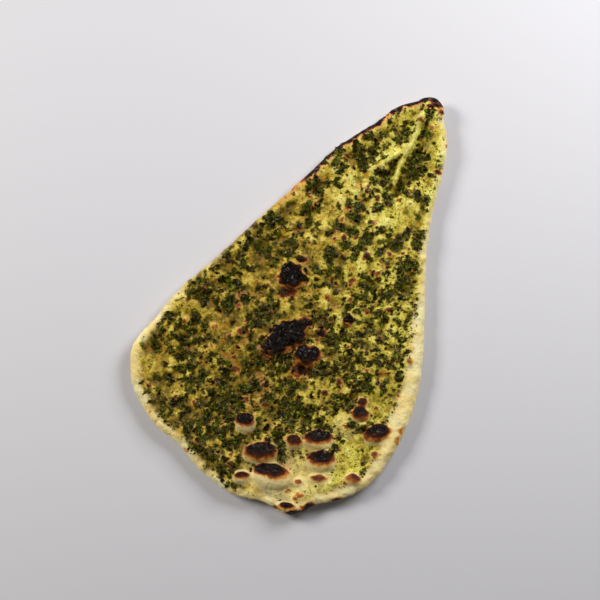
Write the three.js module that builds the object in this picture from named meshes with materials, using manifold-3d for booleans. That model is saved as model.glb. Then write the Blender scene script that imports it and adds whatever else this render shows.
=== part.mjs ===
// Naan bread: one flat hand-stretched loaf, drawn out to a blunt point at one end and baked
// in a single piece, with a puffed rim, blisters that rose in the heat and a pinched fold.
// Millimetres, +Z up. It lies on its flat underside with the point towards +Y, and the
// origin is the middle of its length and width on the surface that it rests on.

import * as THREE from 'three';
import { mergeVertices } from 'three/addons/utils/BufferGeometryUtils.js';
import Module from 'manifold-3d';

const wasm = await Module();
wasm.setup();

// ---- driving dimensions ------------------------------------------------------------------

const LENGTH = 320;
const WIDTH = 200;

const DOUGH_THICKNESS = 5.2;
const RIM_PUFF = 1.9; // how far the rim stands above the dough inside it
const RIM_CREST = 9; // from the edge to the rim's crest
const RIM_SPREAD = 5.5;
const EDGE_ROUND = 4.6; // how far in from the edge the rounding reaches
const EDGE_MIDDLE = 0.42; // height of the outermost line, as a share of the thickness

const EDGE_LIFT = 5.5; // the loaf dries into a shallow bowl, its edge up off the surface
const EDGE_LIFT_REACH = 42; // from the edge to where the underside lies flat
const EDGE_LIFT_CURVE = 1.6;
const TIP_LIFT = 3; // the point curls up further
const TIP_LIFT_FROM = 92;
const CORNER_LIFT = 3; // so does the corner at the widest place
const CORNER = new THREE.Vector2(-104, -112);
const CORNER_LIFT_REACH = 46;

const FOLD_RADIUS = 2.1;
const FOLD_RISE = 0.2; // height of the fold's axis above the dough
const FOLD_SINK = 2.2; // its depth at both ends, where the fold dies out
const FOLD_STEPS = 4; // between two points of its line
const FOLD_SECTION_STEPS = 5;

const HEART = new THREE.Vector2(0, -45); // the rings of the surface close in on this point
const RIM_SEGMENTS = 96;
const OUTLINE_STEPS = 40; // between two points of the outline, to measure it
const EDGE_STEPS = 14; // and to find distances from it
const WELD_GAP = 0.001;
const INNER_RINGS = 8;
const TOP_INSETS = [19, 13, 8.5, 5, 2.8, 1.3, 0.35, 0]; // rings near the edge, from the edge
const BOTTOM_INSETS = [0.7, 2.2, 5, 10, 18, 29, 43];
const BOTTOM_INNER_RINGS = 2;
const BLISTER_SEGMENTS = 16;
const BLISTER_SINK = 0.9; // depth of a blister's widest line below the dough
const BLISTER_ROOT = 2; // and of its flat root below that line

// ---- outline -----------------------------------------------------------------------------

// Clockwise from the point, seen from above: the fuller flank, the bottom, the long flank.
const OUTLINE = [
  [2, 160], [8, 159.5], [13, 155.5], [16, 148.5], [22, 142.5], [27.5, 133], [31, 125],
  [34, 113], [37.5, 101], [43, 82], [49, 65], [58, 46], [75, 13], [88.5, -15], [97, -42],
  [100, -68], [99.4, -91], [95.5, -108], [83, -126], [69, -138], [60, -151], [52, -154.5],
  [37, -154], [26, -156.5], [14, -160], [-4, -158.5], [-22, -154], [-40, -147], [-56, -144.8],
  [-68, -139.5], [-84, -129.5], [-94, -117], [-99.6, -105], [-100, -93], [-96.2, -79],
  [-94.2, -66], [-89.5, -46], [-80, -20], [-65, 25], [-53, 59], [-42, 94], [-33, 111],
  [-24, 127], [-19.5, 137], [-14, 145.5], [-6, 152.5], [-2, 157.5],
];

// A smooth closed curve through the points, brought to the length and width and centred.
function roundOutline() {
  const points = OUTLINE.map(([x, y]) => new THREE.Vector3(x, y, 0));
  const curve = new THREE.CatmullRomCurve3(points, true, 'centripetal');
  const box = new THREE.Box3().setFromPoints(curve.getPoints(OUTLINE_STEPS * OUTLINE.length));
  const size = box.getSize(new THREE.Vector3());
  const middle = box.getCenter(new THREE.Vector3());
  const stretch = new THREE.Vector3(WIDTH / size.x, LENGTH / size.y, 1);
  curve.points = points.map((point) => point.sub(middle).multiply(stretch));
  return curve;
}

const rim = roundOutline();
const rimSamples = rim.getPoints(EDGE_STEPS * OUTLINE.length);

function distanceFromEdge(x, y) {
  const squares = rimSamples.map((point) => (point.x - x) ** 2 + (point.y - y) ** 2);
  return Math.sqrt(Math.min(...squares));
}

// ---- surface heights ---------------------------------------------------------------------

// Broad swells and hollows of the dough: [x, y, reach, height].
const SWELLS = [
  [52, -38, 27, 2.4],
  [-46, -52, 30, 2.2],
  [-4, 22, 24, 1.7],
  [27, 88, 13, 2.3],
  [-20, 74, 17, 1.6],
  [2, -124, 26, 2.0],
  [62, -104, 24, 1.6],
  [-62, -104, 24, 1.2],
  [17, 42, 12, 1.4],
  [-38, 4, 15, 1.3],
  [-19, -84, 13, -1.3],
  [24, -70, 13, -1.3],
  [13, 108, 7, -1.7],
  [38, 4, 12, -1.0],
];

function bell(distance, reach) {
  return Math.exp(-((distance / reach) ** 2));
}

function underside(x, y, fromEdge) {
  const nearEdge = Math.max(0, 1 - fromEdge / EDGE_LIFT_REACH);
  const alongTip = Math.max(0, y - TIP_LIFT_FROM) / (LENGTH / 2 - TIP_LIFT_FROM);
  const fromCorner = Math.hypot(x - CORNER.x, y - CORNER.y);
  const nearCorner = Math.max(0, 1 - fromCorner / CORNER_LIFT_REACH);
  return EDGE_LIFT * nearEdge ** EDGE_LIFT_CURVE + TIP_LIFT * alongTip ** 2 + CORNER_LIFT * nearCorner ** 2;
}

function thickness(x, y, fromEdge) {
  const puff = RIM_PUFF * bell(fromEdge - RIM_CREST, RIM_SPREAD);
  const heights = SWELLS.map(([sx, sy, reach, height]) => height * bell(Math.hypot(x - sx, y - sy), reach));
  const fade = THREE.MathUtils.smoothstep(fromEdge, 0, 2 * RIM_CREST);
  return DOUGH_THICKNESS + puff + fade * heights.reduce((sum, height) => sum + height, 0);
}

function topside(x, y) {
  const fromEdge = distanceFromEdge(x, y);
  return underside(x, y, fromEdge) + thickness(x, y, fromEdge);
}

// ---- the loaf ----------------------------------------------------------------------------

// How far in from the edge each ring of the surface lies, from the middle of the top, out
// over the edge and back to the middle of the underside.
function ringInsets(reach) {
  const topSpan = reach - TOP_INSETS[0];
  const bottomSpan = reach - BOTTOM_INSETS.at(-1);
  const top = Array.from({ length: INNER_RINGS }, (_, i) => reach - (topSpan * i) / INNER_RINGS);
  const bottom = Array.from(
    { length: BOTTOM_INNER_RINGS },
    (_, i) => reach - (bottomSpan * (BOTTOM_INNER_RINGS - 1 - i)) / BOTTOM_INNER_RINGS,
  );
  return [...top, ...TOP_INSETS, ...BOTTOM_INSETS, ...bottom];
}

const EDGE_RING = INNER_RINGS + TOP_INSETS.length - 1;
const LAST_RING = EDGE_RING + BOTTOM_INSETS.length + BOTTOM_INNER_RINGS;

// A sphere laid over the outline: u of its map runs round the edge, and v from the middle of
// the top to the middle of the underside.
function loafGeometry() {
  const geometry = new THREE.SphereGeometry(1, RIM_SEGMENTS, LAST_RING);
  const { position, uv } = geometry.attributes;
  for (let i = 0; i < position.count; i += 1) {
    const ring = Math.round((1 - uv.getY(i)) * LAST_RING);
    const step = Math.round(uv.getX(i) * RIM_SEGMENTS) % RIM_SEGMENTS;
    const edge = rim.getPoint(1 - step / RIM_SEGMENTS);
    const reach = Math.hypot(edge.x - HEART.x, edge.y - HEART.y);
    const share = 1 - ringInsets(reach)[ring] / reach;
    const x = HEART.x + (edge.x - HEART.x) * share;
    const y = HEART.y + (edge.y - HEART.y) * share;
    const fromEdge = ring === EDGE_RING ? 0 : distanceFromEdge(x, y);
    const inward = Math.min(1, fromEdge / EDGE_ROUND);
    const rounding = Math.sqrt(1 - (1 - inward) ** 2);
    const low = underside(x, y, fromEdge);
    const full = thickness(x, y, fromEdge);
    const middle = low + EDGE_MIDDLE * full;
    const surface = ring <= EDGE_RING ? low + full : low;
    position.setXYZ(i, x, y, middle + (surface - middle) * rounding);
  }
  return geometry;
}

// ---- blisters and the fold ---------------------------------------------------------------

// [x, y, width, depth, height, turn in degrees], each a bubble that rose out of the dough.
const BLISTERS = [
  [-24, -4, 22, 20, 4.4, 29],
  [-8, -46, 41, 23, 4.6, 66],
  [13, -48.5, 22, 15, 4.4, 20],
  [26, -11, 10, 11, 2.8, 0],
  [-2.5, -112, 15, 14, 4.8, 20],
  [17.3, -125.5, 23, 15, 5.8, 29],
  [32.5, -136.5, 29, 19.5, 7, 19],
  [13.5, -146, 14, 11, 4.2, 29],
  [34.5, -106.5, 12, 10, 4.2, 29],
  [49, -97.5, 21, 15, 5.4, 29],
  [58, -110, 21, 16, 6.2, 29],
  [62.5, -120.5, 16, 8.5, 3, 29],
  [66, -66.5, 13, 12, 4.8, 0],
  [63.6, -58.5, 8.5, 9, 3.8, 0],
  [83.5, -73, 20, 14, 5.2, 47],
  [83.5, -109, 12, 9, 3.4, 20],
  [51, -130, 10, 9, 2.8, 29],
  [52, -148.5, 15, 7, 2.4, 20],
  [61.5, -79.5, 19, 18, 2.4, 0],
];

function blisterGeometry([x, y, width, depth, height, turn]) {
  const geometry = new THREE.SphereGeometry(1, BLISTER_SEGMENTS, BLISTER_SEGMENTS / 2);
  geometry.rotateX(Math.PI / 2);
  geometry.scale(width / 2, depth / 2, height + BLISTER_SINK);
  const { position } = geometry.attributes;
  for (let i = 0; i < position.count; i += 1) {
    position.setZ(i, Math.max(position.getZ(i), -BLISTER_ROOT));
  }
  geometry.rotateZ(THREE.MathUtils.degToRad(turn));
  geometry.translate(x, y, topside(x, y) - BLISTER_SINK);
  return geometry;
}

// Lines along the crests of the long fold that runs back from the point and of the short one
// beside it.
const FOLDS = [
  [[0, 151], [1.3, 142], [3.8, 132], [4.6, 122], [4.6, 111], [5, 101], [7.6, 91], [10.5, 82]],
  [[4, 120], [-0.5, 112], [-5, 104], [-9.7, 95], [-13, 89]],
];

function foldGeometry(line) {
  const last = line.length - 1;
  const crest = line.map(([x, y], i) => {
    const proud = i === 0 || i === last ? -FOLD_SINK : FOLD_RISE;
    return new THREE.Vector3(x, y, topside(x, y) + proud);
  });
  const section = new THREE.Shape().absarc(0, 0, FOLD_RADIUS, 0, 2 * Math.PI);
  const extrudePath = new THREE.CatmullRomCurve3(crest, false, 'centripetal');
  const steps = FOLD_STEPS * last;
  return new THREE.ExtrudeGeometry(section, { steps, curveSegments: FOLD_SECTION_STEPS, extrudePath });
}

// ---- joining -----------------------------------------------------------------------------

function solid(geometry) {
  geometry.deleteAttribute('normal');
  geometry.deleteAttribute('uv');
  const merged = mergeVertices(geometry, WELD_GAP);
  const vertProperties = new Float32Array(merged.attributes.position.array);
  const triVerts = new Uint32Array(merged.index.array);
  return new wasm.Manifold(new wasm.Mesh({ numProp: 3, vertProperties, triVerts }));
}

function meshGeometry(body) {
  const { vertProperties, triVerts } = body.getMesh();
  const geometry = new THREE.BufferGeometry();
  geometry.setAttribute('position', new THREE.BufferAttribute(vertProperties, 3));
  geometry.setIndex(new THREE.BufferAttribute(triVerts, 1));
  geometry.computeVertexNormals();
  return geometry;
}

function naanBread() {
  const raised = [...BLISTERS.map(blisterGeometry), ...FOLDS.map(foldGeometry)];
  const baked = raised.reduce((body, geometry) => body.add(solid(geometry)), solid(loafGeometry()));
  const crust = new THREE.MeshStandardMaterial({ color: 0xc8a45a, roughness: 0.7, metalness: 0 });
  const bread = new THREE.Mesh(meshGeometry(baked), crust);
  bread.name = 'naan_bread';
  return bread;
}

const naan = new THREE.Group();
naan.add(naanBread());

export default naan;
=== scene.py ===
import math

import bmesh
import bpy
import numpy as np
from mathutils import Euler, Matrix, Vector, noise
from mathutils.bvhtree import BVHTree


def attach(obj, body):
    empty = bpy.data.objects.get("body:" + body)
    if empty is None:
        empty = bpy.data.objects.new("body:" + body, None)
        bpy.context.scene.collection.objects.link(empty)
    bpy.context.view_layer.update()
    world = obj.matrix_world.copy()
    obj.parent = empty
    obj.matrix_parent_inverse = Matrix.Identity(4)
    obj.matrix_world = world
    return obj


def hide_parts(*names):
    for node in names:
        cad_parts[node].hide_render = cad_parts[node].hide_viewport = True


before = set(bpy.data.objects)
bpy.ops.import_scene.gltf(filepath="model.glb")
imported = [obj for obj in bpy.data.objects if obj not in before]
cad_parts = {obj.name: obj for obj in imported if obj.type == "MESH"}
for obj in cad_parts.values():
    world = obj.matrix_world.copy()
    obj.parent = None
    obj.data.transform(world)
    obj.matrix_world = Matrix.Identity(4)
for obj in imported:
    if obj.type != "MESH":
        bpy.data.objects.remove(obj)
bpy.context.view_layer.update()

# ---- The loaf ------------------------------------------------------------------------------
# One piece of leavened dough, stretched by hand to a point, slapped on the hot wall of a clay
# oven and baked there. Steam lifts blisters, and the fire scorches the side that faces it.

MM = 0.001
# How fine the skin's mesh is in millimetres and how often it is smoothed, before and after
# the blisters rise.
DOUGH_GRAIN = 1.4
DOUGH_SMOOTHING = 12
CRUST_GRAIN = 1.03
CRUST_SMOOTHING = 2
# How deep a blister is rooted in the dough, in millimetres, and which way the fire was.
BLISTER_ROOT = 0.9
FIRE_SIDE = np.array((-0.49, 0.87))

# Millimetres: x, y, width, depth, height and turn in degrees of each big blister; then the
# scorch on it: its width and depth as shares of the blister's, how far it lies towards the
# fire and how dark it is; then how clean of butter and herbs the blister is.
BLISTERS = [
    (-24, -4, 22, 20, 4.4, 29, 0.90, 0.94, 0.10, 1.00, 0.0),
    (-8, -46, 41, 23, 4.6, 66, 0.92, 0.88, 0.06, 1.00, 0.0),
    (13, -48.5, 22, 15, 4.4, 20, 0.94, 0.88, 0.12, 1.00, 0.55),
    (26, -11, 10, 11, 2.8, 0, 0.85, 0.85, 0.05, 0.98, 0.2),
    (-2.5, -112, 15, 14, 4.8, 20, 0.86, 0.68, 0.42, 1.00, 0.9),
    (17.3, -125.5, 23, 15, 5.8, 29, 0.98, 0.86, 0.24, 0.92, 0.95),
    (32.5, -136.5, 29, 19.5, 7.0, 19, 0.84, 0.52, 0.52, 1.00, 1.0),
    (13.5, -146, 14, 11, 4.2, 29, 0.78, 0.52, 0.24, 0.84, 1.0),
    (34.5, -106.5, 12, 10, 4.2, 29, 0.90, 0.80, 0.22, 0.84, 0.9),
    (49, -97.5, 21, 15, 5.4, 29, 0.92, 0.68, 0.38, 1.00, 0.95),
    (58, -110, 21, 16, 6.2, 29, 0.90, 0.66, 0.42, 1.00, 1.0),
    (62.5, -120.5, 16, 8.5, 3.0, 29, 0.72, 0.60, 0.10, 0.62, 0.8),
    (66, -66.5, 13, 12, 4.8, 0, 0.94, 0.88, 0.12, 0.84, 0.8),
    (63.6, -58.5, 8.5, 9, 3.8, 0, 0.90, 0.84, 0.10, 0.80, 0.8),
    (83.5, -73, 20, 14, 5.2, 47, 0.94, 0.82, 0.20, 0.98, 0.95),
    (83.5, -109, 12, 9, 3.4, 20, 0.86, 0.76, 0.10, 0.66, 0.9),
    (51, -130, 10, 9, 2.8, 29, 0.50, 0.45, 0.10, 0.42, 0.9),
    (52, -148.5, 15, 7, 2.4, 20, 0.76, 0.70, 0.10, 0.86, 1.0),
    (61.5, -79.5, 19, 18, 2.4, 0, 0.20, 0.18, 0.10, 0.60, 0.3),
]


def skinned(piece, grain, rounds):
    """Wraps a piece in an even skin, its grain in millimetres, and softens it."""
    skin = piece.modifiers.new("skin", "REMESH")
    skin.mode = "VOXEL"
    skin.voxel_size = grain * MM
    soften = piece.modifiers.new("soften", "SMOOTH")
    soften.factor = 0.5
    soften.iterations = rounds
    shown = piece.evaluated_get(bpy.context.evaluated_depsgraph_get())
    piece_mesh = bpy.data.meshes.new_from_object(shown)
    piece.modifiers.clear()
    piece.data = piece_mesh


def plumbed(surface, x, y):
    """Where a plumb line through a place meets a surface, in metres, and which way it faces."""
    return surface.ray_cast(Vector((x * MM, y * MM, 1)), Vector((0, 0, -1)))[:2]


def raise_blister(dough, surface, x, y, width, depth, height, turn):
    """One bubble of the dough, uneven and with a flat root, its top where the frame has it."""
    bubble = bmesh.ops.create_icosphere(dough, subdivisions=4, radius=1)["verts"]
    for vert in bubble:
        place = vert.co * 1.3 + Vector((x, y, 0))
        vert.co *= 1.03 + 0.07 * noise.noise(place) + 0.03 * noise.noise(place * 3)
        if vert.co.z < 0:
            vert.co.z *= 0.35
    size = Vector((width / 2, depth / 2, height + BLISTER_ROOT)) * MM
    bmesh.ops.scale(dough, vec=size, verts=bubble)
    turned = Matrix.Rotation(math.radians(turn), 3, "Z")
    bmesh.ops.rotate(dough, matrix=turned, verts=bubble)
    top = plumbed(surface, x, y)[0].z
    root = Vector((x * MM, y * MM, top - (height + BLISTER_ROOT) * MM))
    bmesh.ops.translate(dough, vec=root, verts=bubble)


loaf = bpy.data.objects.new("naan_loaf", bpy.data.meshes.new("naan_loaf"))
bpy.context.collection.objects.link(loaf)
dough = bmesh.new()
dough.from_mesh(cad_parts["naan_bread"].data)
bmesh.ops.remove_doubles(dough, verts=dough.verts, dist=0.001 * MM)
framed = BVHTree.FromBMesh(dough)
dough.to_mesh(loaf.data)
dough.free()
skinned(loaf, DOUGH_GRAIN, DOUGH_SMOOTHING)

dough = bmesh.new()
dough.from_mesh(loaf.data)
for blister in BLISTERS:
    raise_blister(dough, framed, *blister[:6])
dough.to_mesh(loaf.data)
dough.free()
skinned(loaf, CRUST_GRAIN, CRUST_SMOOTHING)


def vert_values(mesh, name):
    """One vector of each vertex, as rows."""
    found = np.empty(len(mesh.vertices) * 3, np.float32)
    mesh.vertices.foreach_get(name, found)
    return found.reshape(-1, 3).astype(float)


def lumps(places, size, seed=0.0):
    """Smooth noise between -1 and 1 at places in millimetres, with lumps of one size."""
    shift = Vector((seed, seed * 1.7, seed * 0.3))
    return np.array([noise.noise(Vector(place) / size + shift) for place in places.tolist()])


def step(low, high, value):
    """0 below low, 1 above high, and smooth between them."""
    share = np.clip((value - low) / (high - low), 0, 1)
    return share * share * (3 - 2 * share)


def bell(distance, reach):
    """1 at no distance, falling smoothly to nothing a little past the reach."""
    return np.exp(-((distance / reach) ** 2))


def close_to(places, x, y, reach):
    """1 at one spot on the loaf, falling smoothly to nothing a little past the reach."""
    return bell(np.hypot(places[:, 0] - x, places[:, 1] - y), reach)


# The edge of the loaf, as its reach from a point in the wide part, and distances from it.
HEART = np.array((0.0, -45.0))
SPOKES = 720


def spoke_of(places):
    """Which spoke round the heart each place lies on."""
    turn = np.arctan2(places[:, 1] - HEART[1], places[:, 0] - HEART[0])
    return ((turn / (2 * math.pi) + 1) * SPOKES).astype(int) % SPOKES


places = vert_values(loaf.data, "co") / MM
reach = np.zeros(SPOKES)
np.maximum.at(reach, spoke_of(places), np.hypot(*(places[:, :2] - HEART).T))
bearings = (np.arange(SPOKES) + 0.5) * 2 * math.pi / SPOKES
edge = HEART + reach[:, None] * np.stack([np.cos(bearings), np.sin(bearings)], 1)


def edge_distance(places):
    """Distance of each place from the loaf's edge, in millimetres."""
    blocks = np.array_split(places[:, :2], max(1, len(places) // 5000))
    return np.concatenate([
        np.sqrt(((block[:, None] - edge) ** 2).sum(2).min(1)) for block in blocks
    ])


# Folds pinched into the dough: the crest's line, its height and its half width.
FOLDS = [
    ([(0, 152), (1.3, 142), (3.8, 132), (4.6, 122), (4.6, 111), (5, 101), (7.6, 91), (10.5, 81)],
     4.0, 2.7),
    ([(5, 124), (3, 118), (-0.5, 112), (-5, 104), (-9.7, 95), (-13, 89)], 2.0, 3.0),
    ([(56, -97), (62, -98.5), (68, -102), (72, -109.5)], 1.4, 1.4),
]
# The hollows beside them, where butter and herbs gather: the line, the depth and half width.
CREASES = [
    ([(4, 143), (9, 133), (12.5, 122), (14.5, 111), (13.5, 99), (12, 87), (13, 74)], 2.8, 4.2),
    ([(2.5, 113), (0.5, 104), (-1, 95), (-1.5, 84)], 2.2, 2.5),
]


def along_line(places, line):
    """How far each place lies from a line, and the share of the line's length beside it."""
    line = np.array(line, float)
    runs = np.hypot(*np.diff(line, axis=0).T)
    starts = np.concatenate([[0], np.cumsum(runs)])
    nearest = np.full(len(places), 1e9)
    along = np.zeros(len(places))
    for start, end, before, run in zip(line[:-1], line[1:], starts, runs):
        offset = places[:, :2] - start
        share = np.clip(offset @ (end - start) / run**2, 0, 1)
        gap = np.hypot(*(offset - share[:, None] * (end - start)).T)
        closer = gap < nearest
        nearest[closer] = gap[closer]
        along[closer] = ((before + share * run) / starts[-1])[closer]
    return nearest, along


def beside(places, line, half_width):
    """1 on a line, fading across its half width and towards both its ends."""
    gap, along = along_line(places, line)
    sharp = np.clip(1 - gap / (2 * half_width), 0, 1) ** 1.6
    return sharp * step(0.0, 0.12, along) * (1 - step(0.78, 1.0, along))


def crest_at(places):
    """1 on the crests of the folds, 0 away from them."""
    return np.max([beside(places, line, half) * min(crest / 2.8, 1) for line, crest, half in FOLDS], 0)


def crease_at(places):
    """1 in the hollows beside the folds, 0 away from them."""
    return np.max([beside(places, line, half * 1.15) for line, _, half in CREASES], 0)


def on_blister(places, x, y, width, depth, turn):
    """Place across and along a blister, as shares of its half width and half depth."""
    angle = math.radians(turn)
    east = places[:, 0] - x
    north = places[:, 1] - y
    across = (east * math.cos(angle) + north * math.sin(angle)) / (width / 2)
    along = (north * math.cos(angle) - east * math.sin(angle)) / (depth / 2)
    return across, along


def over_blisters(places, least_clean=0.0):
    """1 on the big blisters, or only on the clean ones, 0 off them."""
    found = np.zeros(len(places))
    for x, y, width, depth, _, turn, *_, clean in BLISTERS:
        if clean >= least_clean:
            out = np.hypot(*on_blister(places, x, y, width, depth, turn))
            found = np.maximum(found, 1 - step(0.85, 1.2, out))
    return found


# Width of the bare rim round the loaf: bearing from the heart in degrees, millimetres.
BARE_RIM = [
    (0, 12), (15, 10), (35, 7), (60, 3), (76, 2), (84, 2), (92, 2), (100, 2), (125, 0), (150, -1),
    (180, 0), (195, 2), (215, 5), (232, 5), (250, 4), (266, 3), (280, 3), (295, 5), (310, 5),
    (325, 7), (340, 9), (350, 12),
]


def butter_at(places, from_edge):
    """Where the herb butter was spread: 1 on the dough inside the bare rim, 0 outside it."""
    bearing = np.degrees(np.arctan2(places[:, 1] - HEART[1], places[:, 0] - HEART[0]))
    at, bare = np.array(BARE_RIM, float).T
    width = np.interp(bearing, at, bare, period=360)
    ragged = from_edge + 2.4 * lumps(places, 8, 21) + 1.5 * lumps(places, 3, 22)
    spread = step(width - 2.5, width + 3, ragged)
    spread *= 1 - 0.5 * close_to(places, 44, -138, 24)
    for x, y, across, deep, _, turn, *_, clean in BLISTERS:
        out = np.hypot(*on_blister(places, x, y, across, deep, turn))
        spread *= 1 - 0.75 * clean * (1 - step(0.90, 1.18, out + 0.12 * lumps(places, 3, 23)))
    return spread


# Flat toasted spots, millimetres: x, y, width, depth, darkness; then their turn in degrees.
SPOTS = [
    (5, -144, 6, 5, 0.72), (56.5, -137.5, 7, 5, 0.46), (80.5, -127.5, 9, 5, 0.62),
    (97, -62.5, 6, 7, 0.44), (98, -71, 5, 7, 0.50), (4, -92, 9, 6, 0.50), (13, -29, 12, 8, 0.86),
    (0, -28, 15, 9, 0.92), (-34, -67, 6, 5, 0.80), (8, -19, 6, 5, 0.66), (15, 35, 7, 6, 0.66),
    (-24.5, 11, 10, 6, 0.92), (8, 156, 12, 6, 0.82), (4.5, 158.5, 12, 5, 1.00), (4, 152, 6, 5, 0.88),
    (11.5, 152.5, 6, 5, 0.60), (-1.5, 157, 7, 5, 1.00), (31, 113.5, 5, 5, 0.66), (28, 132.5, 4, 5, 0.80),
    (57, -153.5, 18, 3.6, 1.00), (66, -142, 10, 4.5, 0.94), (45, -153.5, 12, 3, 0.62),
    (-84, -118, 7, 5, 0.30), (-66, -136, 6, 4, 0.34), (-30, -148, 6, 4, 0.32), (-57, -140, 5, 3, 0.36),
    (10.5, -43.5, 11, 8, 1.00), (2, -43, 13, 9, 0.58), (14, -58.5, 22, 14, 0.66),
    (-22, -15, 18, 11, 0.66), (-28, -82, 9, 7, 0.58), (-44, -62, 6, 5, 0.52),
    (-11, -96, 9, 6, 0.56), (-20, 104, 7, 5, 0.56), (-32, 92, 6, 5, 0.58),
    (14, 14, 7, 8, 0.52), (5, -4, 9, 7, 0.44), (-6, 70, 6, 5, 0.50), (24, 27, 6, 5, 0.60),
    (52, -68, 7, 7, 0.40), (-48, -40, 8, 6, 0.46), (-14, 60, 7, 6, 0.56), (2, 44, 6, 6, 0.60),
]
SPOT_TURN = 29
# How softly a scorch ends on the side of the fire and on its lee side.
FIRE_FADE = 0.15
LEE_FADE = 0.58


def toast_at(places, from_edge):
    """How far the crust is toasted: 0 is cream, 0.4 golden, 0.6 red-brown and 1 black."""
    wander = np.stack([lumps(places, 4.5, seed) for seed in (31, 32)], 1)
    fine = np.stack([lumps(places, 1.7, seed) for seed in (33, 34)], 1)
    toast = np.zeros(len(places))
    for x, y, width, depth, _, turn, wide, deep, shift, dark, clean in BLISTERS:
        middle = np.array((x, y)) + FIRE_SIDE * shift * depth / 2
        ragged = places[:, :2] + (3.9 - 3.0 * clean) * wander + (1.6 - 1.2 * clean) * fine
        out = np.hypot(*on_blister(ragged, *middle, width * wide, depth * deep, turn))
        away = places[:, :2] - middle
        towards = 0.5 + 0.5 * (away @ FIRE_SIDE) / (np.hypot(*away.T) + 0.1)
        fade = LEE_FADE + (FIRE_FADE - LEE_FADE) * step(0.25, 0.80, towards)
        lee = -(away @ FIRE_SIDE) / (depth * deep / 2)
        scorch = dark * (1 - (0.12 + 0.22 * clean) * step(-0.5, 0.9, lee))
        toast = np.maximum(toast, scorch * (1 - step(1 - fade, 1 + fade, out)))
    for x, y, width, depth, dark in SPOTS:
        ragged = places[:, :2] + 2.4 * wander + 0.9 * fine
        out = np.hypot(*on_blister(ragged, x, y, width, depth, SPOT_TURN))
        toast = np.maximum(toast, dark * (1 - step(0.15, 1.45, out)))
    toast = np.maximum(toast, 0.11 * over_blisters(places, 0.7))
    x, y = places[:, 0], places[:, 1]
    line = from_edge + 1.9 * wander[:, 0] + 1.2 * fine[:, 0]
    flank = step(52, 70, y) * (x < 0) + step(-13, -8, -np.hypot(x - 62, y + 147))
    toast = np.maximum(toast, flank * (1 - step(1.0, 3.8, line)))
    tan_rim = 0.30 * step(0, 50, y) * (x < 0) * (1 - step(2.0, 9.0, line))
    tanned = lumps(places, 7, 35) + 0.30 * close_to(places, 4, -72, 40)
    tanned = 0.30 * step(0.10, 0.75, tanned) * step(4, 9, from_edge)
    return np.maximum.reduce([toast, tan_rim, tanned])


# Small bubbles and pocks all over the top, millimetres across, some of them toasted.
dice = np.random.default_rng(23)
POCKS = 760
pock_places = dice.uniform((-98, -158), (98, 158), (POCKS, 2))
pock_sizes = dice.uniform(2.4, 6.5, POCKS)
pock_rises = dice.choice([-0.20, 0.18, 0.24], POCKS) * pock_sizes
pock_toasts = dice.choice([0.0, 0.0, 0.46, 0.64], POCKS) * (pock_rises > 0)

facing = vert_values(loaf.data, "normal")
topside = step(-0.1, 0.4, facing[:, 2])
from_edge = edge_distance(places)
relief = 0.50 * lumps(places, 17, 3) + 0.50 * lumps(places, 8, 5)
relief += 0.42 * lumps(places, 4, 7) + 0.22 * lumps(places, 2.2, 8)
pocked = np.zeros(len(places))
pock_toast = np.zeros(len(places))
ragged = places[:, :2] + 1.3 * np.stack([lumps(places, 2.8, seed) for seed in (14, 15)], 1)
for place, size, rise, toasted in zip(pock_places, pock_sizes, pock_rises, pock_toasts):
    gap = np.hypot(*(ragged - place).T)
    near = gap < size
    bump = bell(gap[near], size / 2)
    pocked[near] += rise * bump
    pock_toast[near] = np.maximum(pock_toast[near], toasted * bump)
inside = step(3, 10, from_edge) * (1 - over_blisters(places))
relief += topside * inside * pocked
relief += 0.9 * lumps(places, 6, 12) * (1 - step(3, 9, from_edge))
puffed_rim = 0.5 * bell(from_edge - 3, 2) - 0.3 * bell(from_edge - 8, 3)
relief += topside * puffed_rim * (1 + lumps(places, 9, 13))
toast = np.maximum(toast_at(places, from_edge), inside * pock_toast)
crusted = over_blisters(places) * step(0.7, 0.95, toast) * topside
relief += 0.8 * crusted * lumps(places, 2.3, 9)
relief *= 0.22 + 0.78 * topside
relief *= 1 - 0.55 * over_blisters(places, 0.7) * (1 - crusted)
raised = places + facing * relief[:, None]
raised[:, :2] += 0.9 * facing[:, :2] * (1 - step(2, 7, from_edge))[:, None]
folded = sum(crest * beside(places, line, half) for line, crest, half in FOLDS)
folded -= sum(depth * beside(places, line, half) for line, depth, half in CREASES)
raised[:, 2] += topside * folded * step(0.5, 4, from_edge)
raised[:, 2] = np.maximum(raised[:, 2], 0)
loaf.data.vertices.foreach_set("co", (raised * MM).astype(np.float32).ravel())
loaf.data.update()

facing = vert_values(loaf.data, "normal")

# Thick gatherings of herbs and places with few of them, millimetres: x, y, reach.
THICK = [
    (-70, -84, 11), (-57, -102, 10), (-60, -126, 8), (-18, -127, 13), (-38, -136, 9), (-22, -102, 9),
    (-83, -45, 8), (-83, -69, 6), (-70, -61, 6), (-67, -44, 7), (-52, -37, 7), (-58, -72, 7),
    (-14, -83, 6), (-31, -28, 7), (-40, 61, 6), (-35, 81, 7), (-26, 72, 5), (-19, 110, 6),
    (-10, 115, 5), (-4, 134, 4), (-1, 121, 4), (-21, 95, 6), (9, 52, 5), (-53, 26, 6), (-44, 12, 8),
    (-34, 45, 7), (-8, 26, 8), (29, 53, 5), (43, 63, 7), (44, 44, 7), (8, -13, 6), (3, 14, 5),
    (43, 14, 7), (26, 14, 6), (31, 2, 5), (44, -33, 7), (40, -45, 9), (60, -32, 10), (70, -10, 7),
    (12, -71, 6), (35, -66, 6), (-7, -131, 9), (-4, -142, 6), (22, -111, 6), (29, -92, 7),
    (20, -87, 6), (38, -88, 7), (62, -91, 6), (69, -76, 5), (13, 112, 8), (13, 92, 5), (-1, 96, 5),
]
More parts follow.
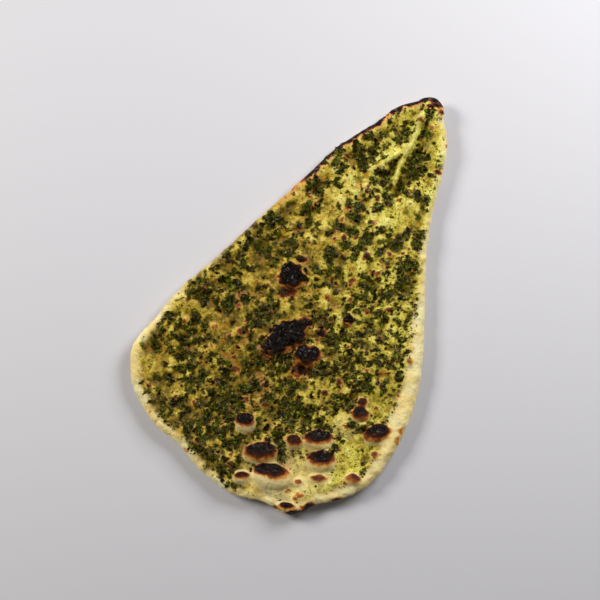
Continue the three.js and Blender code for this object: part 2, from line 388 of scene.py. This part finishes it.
THIN = [
    (-86, -105, 14), (-83, -57, 7), (-52, -54, 9), (-40, -56, 7), (-67, -97, 4), (-59, -116, 6),
    (-27, -78, 7), (30, 77, 12), (17, 140, 8), (38, 52, 5), (-17, 29, 5), (-19, 15, 5), (-21, 77, 5),
    (-47, 46, 4), (40, -57, 7), (6, 22, 5), (5, -2, 7), (-8, -24, 7), (75, -98, 11), (70, -120, 12),
    (24, 126, 7), (-38, -12, 7), (46, -121, 8), (50, -138, 10), (26, -150, 9), (4, -137, 6),
    (76, -58, 7), (70, -84, 7), (88, -40, 8), (-12, 92, 6), (12, 66, 6), (-28, 56, 6), (18, 38, 6),
]


def plenty_at(places):
    """How likely the herbs are to gather at each place, from 0 to 1."""
    plenty = 0.38 + 0.60 * lumps(places, 11, 41)
    plenty += 0.30 * close_to(places, -22, -100, 42)
    for x, y, size in THICK:
        plenty += 0.60 * close_to(places, x, y, size)
    for x, y, size in THIN:
        plenty -= 0.75 * close_to(places, x, y, size)
    return np.clip(plenty + 0.8 * crease_at(places), 0, 1)


def room_for_herbs(places, from_edge):
    """1 where the herb butter could stay, 0 on the rim, the blisters and the folds' crests."""
    free = butter_at(places, from_edge) * (1 - over_blisters(places, 0.7))
    return free * (1 - 0.96 * step(0.30, 0.60, crest_at(places)))


# The clumps that the herbs gathered in, drawn on a grid of cells over the loaf, all in
# millimetres.
CLUMP_TRIES = 8200
CLUMP_CELL = 0.4
CLUMP_MARGIN = 13
clump_low = places.min(0)[:2] - CLUMP_MARGIN
clump_high = places.max(0)[:2] + CLUMP_MARGIN
clump_grid = np.zeros(((clump_high - clump_low) / CLUMP_CELL + 1).astype(int))
clumps = np.zeros((CLUMP_TRIES, 3))
clumps[:, :2] = dice.uniform(clump_low + CLUMP_MARGIN, places.max(0)[:2], (CLUMP_TRIES, 2))
clump_sizes = np.clip(dice.lognormal(0.26, 0.60, CLUMP_TRIES), 0.5, 5.0)
# In one part of the loaf the clumps are finer and lie closer together.
finer = close_to(clumps, 50, -22, 48)
clump_sizes *= 1 - 0.30 * finer
clump_turns = dice.uniform(0, math.pi, CLUMP_TRIES)
clump_lengths = dice.uniform(1.0, 1.7, CLUMP_TRIES)
chosen = np.flatnonzero(dice.uniform(0, 1, CLUMP_TRIES) < plenty_at(clumps) + 0.54 * finer)
for number in chosen:
    middle, size = clumps[number, :2], clump_sizes[number]
    turn, length = clump_turns[number], clump_lengths[number]
    span = 1.3 * size * length
    low = ((middle - span - clump_low) / CLUMP_CELL).astype(int)
    high = ((middle + span - clump_low) / CLUMP_CELL).astype(int) + 2
    east, north = (np.arange(low[i], high[i]) * CLUMP_CELL + clump_low[i] - middle[i] for i in (0, 1))
    east, north = np.meshgrid(east, north, indexing="ij")
    long_way = (east * math.cos(turn) + north * math.sin(turn)) / (size * length)
    short_way = (north * math.cos(turn) - east * math.sin(turn)) * length / size
    patch = 1 - step(0.50, 1.26, np.hypot(long_way, short_way))
    window = clump_grid[low[0]:high[0], low[1]:high[1]]
    np.maximum(window, patch, out=window)


def herb_cover(places, from_edge):
    """How thickly the chopped herbs lie at each place, from 0 to 1."""
    wander = np.stack([lumps(places, 1.5, seed) for seed in (43, 44)], 1)
    cell = ((places[:, :2] + 0.9 * wander - clump_low) / CLUMP_CELL + 0.5).astype(int)
    return clump_grid[cell[:, 0], cell[:, 1]] * room_for_herbs(places, from_edge)


butter = butter_at(places, from_edge) * step(-0.3, 0.3, facing[:, 2])
toast *= step(-0.9, -0.3, facing[:, 2])
herbs = herb_cover(places, from_edge)
# How high each place stands among the lumps of the crust, made into a tone for its colour: painted shade
# in the hollows, painted light on the bumps.
# Painted shade over two broad patches of the wide part and in the creases beside the folds; darker too
# where the herbs gather thickly.
shaded = 0.28 * close_to(places, -8, -88, 46) + 0.24 * close_to(places, -42, -42, 44)
shaded += 0.12 * plenty_at(places) + 0.7 * crease_at(places)
# Painted light towards the tip and on one patch near the wide end.
shaded -= 0.24 * step(20, 110, places[:, 1]) + 0.20 * close_to(places, 66, -112, 34)
# Painted highlight along the folds' crests.
proud_and_painted_light = 0.52 + 0.7 * np.clip(relief, -0.8, 0.5) + 1.0 * crest_at(places) - shaded
proud_and_painted_light = np.clip(proud_and_painted_light, 0, 1)
# One flank of the butter is a little greener than the other.
greener = step(-25, 35, places[:, 0] + 0.35 * places[:, 1])
underneath = 1 - step(-0.75, -0.2, facing[:, 2])


def give(mesh, name, values):
    """Keeps one number of each vertex in the mesh, for its material to read."""
    kept = mesh.attributes.new(name, "FLOAT", "POINT")
    kept.data.foreach_set("value", values.astype(np.float32))


give(loaf.data, "butter", butter)
give(loaf.data, "toast", toast)
give(loaf.data, "herbs", herbs)
give(loaf.data, "proud_and_painted_light", proud_and_painted_light)
give(loaf.data, "greener", greener)
give(loaf.data, "underneath", underneath)
for face in loaf.data.polygons:
    face.use_smooth = True

# The loaf's map is two flat views side by side, of the faces that look up and the rest.
corners = np.empty(len(loaf.data.loops), np.int32)
loaf.data.loops.foreach_get("vertex_index", corners)
sizes = [len(face.vertices) for face in loaf.data.polygons]
looks_up = np.repeat([face.normal.z >= 0 for face in loaf.data.polygons], sizes)
flat = (places[:, :2] - places[:, :2].min(0)) / np.ptp(places[:, :2], axis=0)
flat = flat[corners] * (0.48, 0.98) + 0.01
flat[:, 0] += 0.5 * ~looks_up
uv_map = loaf.data.uv_layers.new(name="OFBake")
uv_map.uv.foreach_set("vector", flat.astype(np.float32).ravel())


def shade(red, green, blue):
    """A colour given as it looks on screen, as the material's linear one."""
    parts = [part / 255 for part in (red, green, blue)]
    return (*[part / 12.92 if part < 0.04 else ((part + 0.055) / 1.055) ** 2.4 for part in parts], 1)


class Recipe:
    """A material and short ways to add nodes to it."""

    def __init__(self, name):
        self.material = bpy.data.materials.new(name)
        self.material.use_nodes = True
        self.tree = self.material.node_tree
        self.shader = self.tree.nodes["Principled BSDF"]
        self.place = self.node("ShaderNodeTexCoord").outputs["Object"]

    def node(self, kind, inputs=None, **settings):
        made = self.tree.nodes.new(kind)
        for name, value in settings.items():
            setattr(made, name, value)
        for socket, value in (inputs or {}).items():
            self.put(made.inputs[socket], value)
        return made

    def put(self, socket, value):
        if isinstance(value, bpy.types.NodeSocket):
            self.tree.links.new(value, socket)
        else:
            socket.default_value = value

    def finish(self, name, value):
        self.put(self.shader.inputs[name], value)

    def value(self, name):
        return self.node("ShaderNodeAttribute", attribute_name=name).outputs["Fac"]

    def grain(self, size_mm, detail=2.0, rough=0.5, warp=0.0):
        inputs = {"Vector": self.place, "Scale": 1 / (size_mm * MM), "Detail": detail}
        inputs |= {"Roughness": rough, "Distortion": warp}
        return self.node("ShaderNodeTexNoise", inputs).outputs["Fac"]

    def maths(self, operation, a, b=0.0, c=0.0):
        inputs = {0: a, 1: b, 2: c}
        return self.node("ShaderNodeMath", inputs, operation=operation).outputs[0]

    def between(self, value, low, high):
        inputs = {"Value": value, "From Min": low, "From Max": high}
        kind = "ShaderNodeMapRange"
        return self.node(kind, inputs, interpolation_type="SMOOTHSTEP").outputs["Result"]

    def mix(self, share, first, second):
        inputs = {0: share, 6: first, 7: second}
        return self.node("ShaderNodeMix", inputs, data_type="RGBA").outputs[2]

    def scale(self, value, colours):
        ramp = self.node("ShaderNodeValToRGB", {"Fac": value})
        stops = ramp.color_ramp.elements
        while len(stops) < len(colours):
            stops.new(0.5)
        for stop, (at, colour) in zip(stops, colours):
            stop.position = at
            stop.color = colour
        return ramp.outputs["Color"]

    def bump(self, height, depth_mm, under=None):
        inputs = {"Height": height, "Distance": depth_mm * MM, "Strength": 1.0}
        if under is not None:
            inputs["Normal"] = under
        return self.node("ShaderNodeBump", inputs).outputs["Normal"]


def baked_dough():
    """Cream crust, yellow-green where the herb butter soaked in, toasted to a cracked black, with
    painted light and shade over its relief and painted glints on the char.
    """
    dough = Recipe("baked_dough")
    butter, toast, herbs, proud_and_painted_light, underneath = (
        dough.value(name) for name in ("butter", "toast", "herbs", "proud_and_painted_light", "underneath")
    )
    broad = dough.grain(16, 3)
    patches = dough.grain(6, 4, 0.6)
    mottle = dough.grain(2.6, 4, 0.62)
    crumbs = dough.grain(0.85, 3, 0.6)

    cream = dough.mix(dough.between(broad, 0.35, 0.65), shade(255, 242, 180), shade(255, 228, 148))
    cream = dough.mix(dough.between(mottle, 0.52, 0.75), cream, shade(238, 200, 122))
    # The buttered crust's tone: painted light and shade carried over from the relief, random mottling,
    # and darker where the herbs lie.
    soak_and_painted_light = dough.maths("MULTIPLY_ADD", proud_and_painted_light, 0.42, dough.maths("MULTIPLY", mottle, 0.62))
    soak_and_painted_light = dough.maths("MULTIPLY_ADD", herbs, -0.16, soak_and_painted_light)
    soaked = dough.scale(soak_and_painted_light, [
        (0.22, shade(86, 66, 6)), (0.35, shade(130, 106, 22)), (0.47, shade(182, 154, 46)),
        (0.62, shade(238, 212, 92)), (0.78, shade(255, 242, 150)),
    ])
    golden = dough.between(patches, 0.54, 0.68)
    soaked = dough.mix(dough.maths("MULTIPLY", golden, 0.5), soaked, shade(206, 134, 36))
    juice = dough.mix(dough.value("greener"), shade(253, 251, 238), shade(245, 254, 230))
    soaked = dough.node(
        "ShaderNodeMix", {0: 1.0, 6: soaked, 7: juice}, data_type="RGBA", blend_type="MULTIPLY"
    ).outputs[2]
    crust = dough.mix(butter, cream, soaked)

    crowded = dough.between(dough.maths("MULTIPLY_ADD", herbs, 0.5, crumbs), 0.62, 0.84)
    crust = dough.mix(dough.maths("MULTIPLY", crowded, 0.64), crust, shade(60, 46, 6))
    specks = dough.between(dough.grain(1.2, 3, 0.65), 0.52, 0.68)
    specks = dough.maths("MULTIPLY", specks, dough.maths("MULTIPLY", butter, 0.75))
    crust = dough.mix(specks, crust, shade(74, 60, 10))

    uneven = dough.maths("MULTIPLY_ADD", dough.maths("SUBTRACT", mottle, 0.5), 0.30, toast)
    uneven = dough.maths("MULTIPLY_ADD", dough.maths("SUBTRACT", patches, 0.53), 0.85, uneven)
    uneven = dough.maths("MULTIPLY_ADD", butter, 0.08, uneven)
    toasted = dough.scale(uneven, [
        (0.08, shade(244, 216, 142)), (0.21, shade(232, 184, 98)), (0.34, shade(206, 134, 56)),
        (0.47, shade(152, 80, 32)), (0.62, shade(94, 45, 20)), (0.80, shade(46, 25, 17)),
        (0.97, shade(20, 13, 12)),
    ])
    first = dough.maths("MULTIPLY_ADD", butter, 0.12, 0.03)
    full = dough.maths("MULTIPLY_ADD", butter, 0.16, 0.26)
    crust = dough.mix(dough.between(toast, first, full), crust, toasted)

    flakes = dough.grain(2.4, 5, 0.7, 0.8)
    black = dough.between(toast, 0.62, 0.92)
    # Grey flecks on the black char are painted glints, standing in for the shine of its wet crust.
    painted_glints = dough.maths("MULTIPLY", dough.between(flakes, 0.56, 0.66), black)
    crust = dough.mix(dough.maths("MULTIPLY", painted_glints, 0.62), crust, shade(150, 144, 146))

    leopard = dough.grain(13, 4, 0.6, 0.4)
    browned = dough.scale(leopard, [
        (0.36, shade(232, 214, 168)), (0.50, shade(218, 182, 118)), (0.58, shade(176, 112, 54)),
        (0.66, shade(104, 56, 30)), (0.76, shade(44, 26, 20)),
    ])
    flour = dough.maths("MULTIPLY", dough.between(patches, 0.50, 0.72), 0.5)
    browned = dough.mix(flour, browned, shade(238, 230, 210))
    crust = dough.mix(underneath, crust, browned)
    dough.finish("Base Color", crust)

    gloss = dough.maths("MULTIPLY_ADD", butter, -0.31, 0.56)
    gloss = dough.maths("MULTIPLY_ADD", black, -0.20, gloss)
    gloss = dough.maths("MULTIPLY_ADD", dough.maths("SUBTRACT", crumbs, 0.5), 0.5, gloss)
    dough.finish("Roughness", dough.maths("MAXIMUM", gloss, 0.18))
    dough.finish("Specular IOR Level", 0.22)
    dough.finish("Subsurface Weight", 0.04)
    dough.finish("Subsurface Scale", 0.0015)

    soft = dough.bump(mottle, 0.9)
    fine = dough.bump(crumbs, 0.34, soft)
    cracked = dough.maths("MULTIPLY", flakes, black)
    dough.finish("Normal", dough.bump(cracked, 3.0, fine))
    return dough.material


loaf.data.materials.clear()
loaf.data.materials.append(baked_dough())
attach(loaf, "root")
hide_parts("naan_bread")
baked_surface = BVHTree.FromObject(loaf, bpy.context.evaluated_depsgraph_get())

# ---- Chopped leaves ------------------------------------------------------------------------
# Coriander and dried fenugreek leaves chopped with a knife and stirred into melted butter.
# They were brushed over the dough before baking, so they lie flat, dark and shrivelled.


def scattered(dice, tries, everywhere):
    """Random places on the loaf where the herbs lie, how thickly, and how little burnt."""
    spots = np.zeros((tries, 3))
    spots[:, :2] = dice.uniform(places.min(0)[:2], places.max(0)[:2], (tries, 2))
    spots = spots[np.hypot(*(spots[:, :2] - HEART).T) < reach[spoke_of(spots)] - 1]
    from_edge = edge_distance(spots)
    cover = herb_cover(spots, from_edge)
    chance = cover**1.5 + everywhere * room_for_herbs(spots, from_edge)
    kept = np.flatnonzero(dice.uniform(0, 1, len(spots)) < chance)
    green = 1 - step(0.40, 0.75, toast_at(spots[kept], from_edge[kept]))
    return spots[kept], cover[kept], green


SCRAP_THICKNESS = 0.14


def leaf_scrap(dice, width):
    """One scrap of leaf, a millimetre long: a thin, bent and twisted flake with a ragged edge."""
    scrap = bmesh.new()
    rim = bmesh.ops.create_circle(scrap, segments=6, radius=0.5, cap_ends=True)["verts"]
    for vert in rim:
        vert.co *= dice.uniform(0.6, 1.35)
        vert.co.y *= width
    bmesh.ops.poke(scrap, faces=scrap.faces)
    lower = bmesh.ops.extrude_face_region(scrap, geom=scrap.faces)["geom"]
    lower = [part for part in lower if isinstance(part, bmesh.types.BMVert)]
    bmesh.ops.translate(scrap, vec=(0, 0, -SCRAP_THICKNESS), verts=lower)
    curl, twist, fold = dice.uniform(-0.9, 0.7), dice.uniform(-0.8, 0.8), dice.uniform(-0.6, 0.6)
    for vert in scrap.verts:
        x, y, z = vert.co
        vert.co.z = z + curl * x * x + twist * x * y + fold * abs(y)
    return scrap


def kept_shape(name, scrap):
    """A scrap's mesh, of outward-facing triangles."""
    bmesh.ops.triangulate(scrap, faces=scrap.faces)
    bmesh.ops.recalc_face_normals(scrap, faces=scrap.faces)
    shape = bpy.data.meshes.new(name)
    scrap.to_mesh(shape)
    scrap.free()
    return shape


MAP_GAP = 0.12


def lay_out(mesh, cells):
    """A map on which each scrap has a square of its own."""
    side = math.ceil(math.sqrt(len(cells)))
    spots = []
    for number, cell in enumerate(cells):
        corner = np.array(divmod(number, side), float)
        low = cell.min(0)
        span = max(np.ptp(cell, axis=0).max(), 1e-6)
        spots.append((corner + MAP_GAP + (1 - 2 * MAP_GAP) * (cell - low) / span) / side)
    spots = np.concatenate(spots)
    corners = np.empty(len(mesh.loops), np.int32)
    mesh.loops.foreach_get("vertex_index", corners)
    uv_map = mesh.uv_layers.new(name="OFBake")
    uv_map.uv.foreach_set("vector", spots[corners].astype(np.float32).ravel())


def strewn(name, shapes, spots, sizes, tones, dice, tilt, lift):
    """One piece of many scraps that lie on the crust, each with a tone of its own.

    The tilt is in radians, and a scrap is lifted off the crust by a share of its size.
    """
    pile = bmesh.new()
    cells, scrap_tones = [], []
    for spot, size, tone in zip(spots, sizes, tones):
        hit, normal = plumbed(baked_surface, *spot[:2])
        if hit is None:
            continue
        scrap = shapes[dice.integers(len(shapes))].copy()
        cells.append(np.array([vert.co[:2] for vert in scrap.vertices]))
        scrap_tones.append(np.full(len(scrap.vertices), tone))
        lean = Euler((dice.normal(0, tilt), dice.normal(0, tilt), dice.uniform(0, 2 * math.pi)))
        turned = Vector((0, 0, 1)).rotation_difference(normal) @ lean.to_quaternion()
        lifted = hit + normal * (size * lift * MM)
        scrap.transform(Matrix.LocRotScale(lifted, turned, Vector((1, 1, 1)) * size * MM))
        pile.from_mesh(scrap)
        bpy.data.meshes.remove(scrap)
    mesh = bpy.data.meshes.new(name)
    pile.to_mesh(mesh)
    pile.free()
    give(mesh, "tone", np.concatenate(scrap_tones))
    lay_out(mesh, cells)
    piece = bpy.data.objects.new(name, mesh)
    bpy.context.collection.objects.link(piece)
    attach(piece, "root")
    return piece


def chopped_leaf():
    """Wet, baked leaf: near black where it is thick, olive where it is thin."""
    leaf = Recipe("chopped_leaf")
    tone = leaf.value("tone")
    veins = leaf.grain(0.7, 3)
    uneven = leaf.maths("MULTIPLY_ADD", leaf.maths("SUBTRACT", veins, 0.5), 0.4, tone)
    leaf.finish("Base Color", leaf.scale(uneven, [
        (0.05, shade(19, 12, 1)), (0.32, shade(50, 45, 4)), (0.56, shade(83, 90, 10)),
        (0.76, shade(123, 135, 30)), (0.94, shade(180, 186, 76)),
    ]))
    leaf.finish("Roughness", leaf.maths("MULTIPLY_ADD", veins, 0.4, 0.06))
    leaf.finish("Specular IOR Level", 0.11)
    leaf.finish("Normal", leaf.bump(veins, 0.12))
    return leaf.material


def leaf_sizes(dice, spots, cover, usual):
    """Sizes in millimetres of the scraps at some places, bigger where they lie thickly."""
    cut = dice.lognormal(math.log(usual), 0.38, len(spots))
    return np.clip(cut, 0.8, 4.0) * (0.75 + 0.5 * cover)


# Each kind of leaf: its piece, the usual size of its scraps in millimetres and their tone.
LEAVES = [("coriander_leaves", 1.9, 0.42), ("fenugreek_leaves", 1.4, 0.54)]

herb_green = chopped_leaf()
dice = np.random.default_rng(11)
shapes = [kept_shape("leaf_scrap", leaf_scrap(dice, dice.uniform(0.4, 0.95))) for _ in range(16)]
for name, usual, leaf_tone in LEAVES:
    spots, cover, green = scattered(dice, tries=27000, everywhere=0.02)
    sizes = leaf_sizes(dice, spots, cover, usual)
    tones = np.clip(dice.normal(leaf_tone, 0.17, len(spots)) - 0.16 * cover, 0, 1) * green
    leaves = strewn(name, shapes, spots, sizes, tones, dice, tilt=0.34, lift=0.14)
    leaves.data.materials.append(herb_green)

# ---- Leaf shreds ---------------------------------------------------------------------------
# Narrow slivers from the same chopping board, cut across the leaf. They curl as they dry and
# catch the light on their edges.

spots, cover, green = scattered(dice, tries=24000, everywhere=0.10)
sizes = dice.uniform(0.9, 2.2, len(spots))
tones = np.clip(dice.normal(0.58, 0.24, len(spots)) - 0.20 * cover, 0, 1) * green
shapes = [kept_shape("leaf_shred", leaf_scrap(dice, dice.uniform(0.3, 0.5))) for _ in range(10)]
shreds = strewn("leaf_shreds", shapes, spots, sizes, tones, dice, tilt=0.42, lift=0.20)
shreds.data.materials.append(herb_green)

# ---- Leaf crumbs ---------------------------------------------------------------------------
# The finest part of the chopped herbs: specks and curled crumbs of leaf that fell from the
# knife. They lie under and between the scraps, and the butter holds them down.


def leaf_crumb(dice):
    """One crumb, a millimetre wide: an uneven little lump, flatter than it is wide."""
    crumb = bmesh.new()
    for vert in bmesh.ops.create_icosphere(crumb, subdivisions=1, radius=0.5)["verts"]:
        vert.co *= dice.uniform(0.6, 1.25)
        vert.co.z *= 0.6
    return crumb


spots, cover, green = scattered(dice, tries=20000, everywhere=0.17)
sizes = dice.uniform(0.5, 1.3, len(spots))
tones = np.clip(dice.normal(0.46, 0.22, len(spots)), 0, 1) * green
shapes = [kept_shape("leaf_crumb", leaf_crumb(dice)) for _ in range(6)]
crumbs = strewn("leaf_crumbs", shapes, spots, sizes, tones, dice, tilt=0.4, lift=0.12)
crumbs.data.materials.append(herb_green)

# ---- Stalk bits ----------------------------------------------------------------------------
# Bits of thin coriander stalk that went through the knife with the leaves. They are paler
# than the leaves, baked to straw and brown, and lie bent on the butter.


def stalk_bit(dice):
    """One bit of stalk, a millimetre long: a thin bent rod, a little narrower at one end."""
    stalk = bmesh.new()
    rod = bmesh.ops.create_cone(stalk, segments=5, radius1=0.045, radius2=0.04, depth=1, cap_ends=True)
    bmesh.ops.rotate(stalk, matrix=Matrix.Rotation(math.pi / 2, 3, "Y"), verts=rod["verts"])
    sides = [side for side in stalk.edges if side.calc_length() > 0.5]
    bmesh.ops.subdivide_edges(stalk, edges=sides, cuts=4, use_grid_fill=True)
    bow, wave = dice.uniform(-0.5, 0.5), dice.uniform(-0.09, 0.09)
    for vert in stalk.verts:
        x = vert.co.x
        vert.co.y += bow * (x * x - 0.12) + wave * math.sin(7 * x)
        vert.co.z += 0.05 * math.cos(5 * x)
    return stalk


def dried_stalk():
    """Coriander stalk baked from green to straw and brown."""
    stalk = Recipe("dried_stalk")
    stalk.finish("Base Color", stalk.scale(stalk.value("tone"), [
        (0.0, shade(52, 40, 16)), (0.4, shade(112, 84, 34)), (0.7, shade(160, 134, 66)),
        (1.0, shade(196, 176, 108)),
    ]))
    stalk.finish("Roughness", 0.5)
    stalk.finish("Normal", stalk.bump(stalk.grain(0.6, 2), 0.1))
    return stalk.material


spots, cover, green = scattered(dice, tries=130, everywhere=0.25)
sizes = dice.uniform(3.5, 8.0, len(spots))
tones = dice.uniform(0, 0.75, len(spots)) * green
shapes = [kept_shape("stalk_bit", stalk_bit(dice)) for _ in range(6)]
stalks = strewn("stalk_bits", shapes, spots, sizes, tones, dice, tilt=0.06, lift=0.09)
stalks.data.materials.append(dried_stalk())

# ---- The table, the light and the camera ---------------------------------------------------
# A pale matt table under two soft windows: a strong one to the left and a weaker, cooler one
# at the far side. The room around them is dim, and the camera looks down almost upright.

floor_mesh = bmesh.new()
bmesh.ops.create_grid(floor_mesh, x_segments=1, y_segments=1, size=3)
table_mesh = bpy.data.meshes.new("pale_table")
floor_mesh.to_mesh(table_mesh)
floor_mesh.free()
table = bpy.data.objects.new("pale_table", table_mesh)
bpy.context.collection.objects.link(table)
pale = Recipe("pale_table")
pale.finish("Base Color", shade(222, 221, 224))
pale.finish("Roughness", 0.75)
table_mesh.materials.append(pale.material)

LOOK_AT = Vector((-11.5, -15.2, 3)) * MM
VIEW_UP = Vector((-0.4848, 0.8746, 0))
VIEW_RIGHT = Vector((0.8746, 0.4848, 0))
CAMERA_DISTANCE = 1.1
CAMERA_TILT = math.radians(86)
VIEW_WIDTH = 0.433
ROOM_LIGHT = 0.08

away = math.sin(CAMERA_TILT) * Vector((0, 0, 1)) - math.cos(CAMERA_TILT) * VIEW_UP
camera_data = bpy.data.cameras.new("camera")
camera_data.lens = camera_data.sensor_width * CAMERA_DISTANCE / VIEW_WIDTH
camera = bpy.data.objects.new("camera", camera_data)
bpy.context.collection.objects.link(camera)
axes = Matrix((VIEW_RIGHT, away.cross(VIEW_RIGHT), away)).transposed()
camera.matrix_world = Matrix.Translation(LOOK_AT + CAMERA_DISTANCE * away) @ axes.to_4x4()
bpy.context.scene.camera = camera


def window(name, place, size, power, colour):
    """A soft square light, aimed at the middle of the table."""
    light = bpy.data.lights.new(name, "AREA")
    light.size = size
    light.energy = power
    light.color = colour
    lamp = bpy.data.objects.new(name, light)
    bpy.context.collection.objects.link(lamp)
    lamp.location = place
    lamp.rotation_euler = place.to_track_quat("Z", "Y").to_euler()


left_place = -0.98 * VIEW_RIGHT + 0.42 * VIEW_UP + Vector((0, 0, 0.78))
far_place = 0.48 * VIEW_RIGHT + 0.50 * VIEW_UP + Vector((0, 0, 0.56))
window("left_window", left_place, size=0.42, power=11.0, colour=(1.0, 0.98, 0.95))
window("far_window", far_place, size=0.46, power=6.2, colour=(0.98, 0.98, 1.0))
room = bpy.data.worlds.new("room")
room.use_nodes = True
room.node_tree.nodes["Background"].inputs["Color"].default_value = (1.0, 0.98, 0.96, 1)
room.node_tree.nodes["Background"].inputs["Strength"].default_value = ROOM_LIGHT
bpy.context.scene.world = room
bpy.context.scene.view_settings.view_transform = "Standard"
